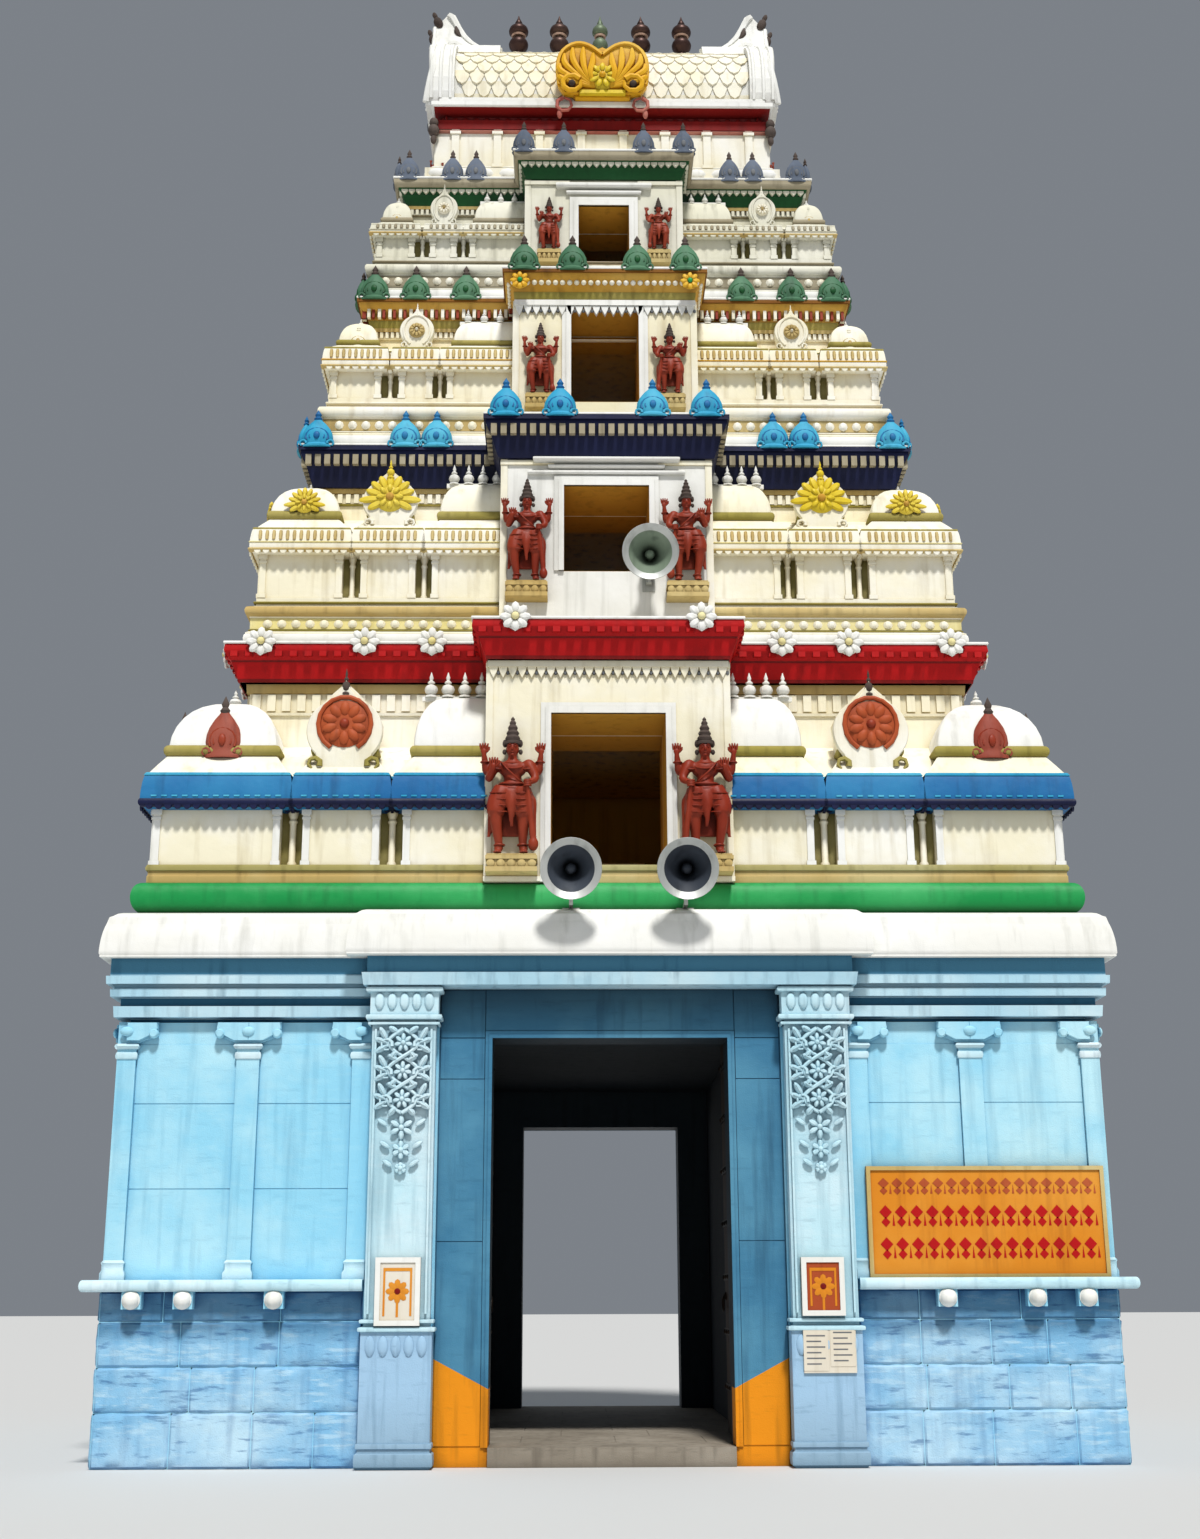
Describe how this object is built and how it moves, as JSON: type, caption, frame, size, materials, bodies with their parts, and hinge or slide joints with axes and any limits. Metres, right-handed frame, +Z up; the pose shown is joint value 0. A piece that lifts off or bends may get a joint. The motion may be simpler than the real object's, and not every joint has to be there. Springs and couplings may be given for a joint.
{
  "type": "temple gateway tower",
  "caption": "South Indian temple gateway tower with a pair of swinging timber doors in a stone base, hollow shrine-ringed storeys and a barrel-vaulted crown.",
  "frame": {"origin": "on the ground at the middle of the gate passage's plan, at the underside of the passage floor", "axes": "+Z up, the street side faces -Y, +X to the right seen from the street"},
  "size_m": [10.4, 8.3805, 19.2],
  "materials": {
    "blue_limewash_granite": "sky-blue limewash over dressed granite, matt, scuffed",
    "steel_blue_paint": "steel-blue oil paint over dressed granite, with orange feet",
    "worn_granite": "bare granite paving, worn smooth",
    "white_limewash": "white limewash over lime plaster, weathered",
    "cream_limewash": "cream limewash over lime plaster, weathered",
    "red_enamel": "deep red enamel paint over lime plaster",
    "navy_enamel": "navy enamel paint over lime plaster",
    "ochre_limewash": "yellow and brown limewash over lime plaster",
    "green_enamel": "green enamel paint over lime plaster",
    "mid_blue_enamel": "mid-blue enamel paint over lime plaster",
    "yellow_enamel": "golden yellow enamel paint over lime plaster",
    "terracotta_enamel": "red-brown enamel paint over stucco",
    "sky_blue_enamel": "sky-blue enamel paint over stucco",
    "grey_cement": "bare cement stucco, weathered grey",
    "dark_teak": "old oiled teak with iron straps",
    "dark_copper": "tarnished copper with a pale band",
    "grey_sheet_metal": "weathered grey paint on spun aluminium",
    "orange_sheet": "orange painted sheet in a frame",
    "printed_card": "sun-faded card in a white frame"
  },
  "bodies": {
    "root": {"passage_floor": "worn_granite", "plinth_left": "blue_limewash_granite", "plinth_right": "blue_limewash_granite", "ledge_left": "blue_limewash_granite", "ledge_right": "blue_limewash_granite", "base_wall_left": "blue_limewash_granite", "base_wall_right": "blue_limewash_granite", "portal_pier_front_left": "blue_limewash_granite", "portal_pier_front_right": "blue_limewash_granite", "portal_pier_back_left": "blue_limewash_granite", "portal_pier_back_right": "blue_limewash_granite", "door_jamb_front_left": "steel_blue_paint", "door_jamb_front_right": "steel_blue_paint", "door_jamb_back_left": "steel_blue_paint", "door_jamb_back_right": "steel_blue_paint", "door_lintel_front": "steel_blue_paint", "door_lintel_back": "steel_blue_paint", "entablature": "blue_limewash_granite", "base_cornice": "white_limewash", "storey_1_walls": "cream_limewash", "storey_1_bay_front": "cream_limewash", "storey_1_bay_back": "cream_limewash", "storey_1_cornice": "red_enamel", "storey_2_walls": "cream_limewash", "storey_2_bay_front": "cream_limewash", "storey_2_bay_back": "cream_limewash", "storey_2_cornice": "navy_enamel", "storey_3_walls": "cream_limewash", "storey_3_bay_front": "cream_limewash", "storey_3_bay_back": "cream_limewash", "storey_3_cornice": "ochre_limewash", "storey_4_walls": "cream_limewash", "storey_4_bay_front": "cream_limewash", "storey_4_bay_back": "cream_limewash", "storey_4_cornice": "green_enamel", "neck_walls": "cream_limewash", "vault_eave": "red_enamel", "vault": "white_limewash", "gable_left": "white_limewash", "gable_right": "white_limewash", "middle_gable_front": "yellow_enamel", "middle_gable_back": "yellow_enamel", "pot_1": "dark_copper", "pot_2": "dark_copper", "pot_3": "dark_copper", "pot_4": "dark_copper", "pot_5": "dark_copper", "signboard": "orange_sheet", "picture_left": "printed_card", "picture_right": "printed_card", "notice_right": "printed_card", "loudspeaker_left": "grey_sheet_metal", "loudspeaker_right": "grey_sheet_metal", "loudspeaker_upper": "grey_sheet_metal"},
    "door_leaf_left": {"door_leaf_left": "dark_teak"},
    "door_leaf_right": {"door_leaf_right": "dark_teak"}
  },
  "joints": [
    {"name": "left_leaf_hinge", "type": "hinge", "parent": "root", "child": "door_leaf_left", "pos_m": [-1.33, -2.975, 2.2], "axis": [0, 0, -1], "range_deg": [0, 90]},
    {"name": "right_leaf_hinge", "type": "hinge", "parent": "root", "child": "door_leaf_right", "pos_m": [1.33, -2.975, 2.2], "axis": [0, 0, 1], "range_deg": [0, 90]}
  ]
}
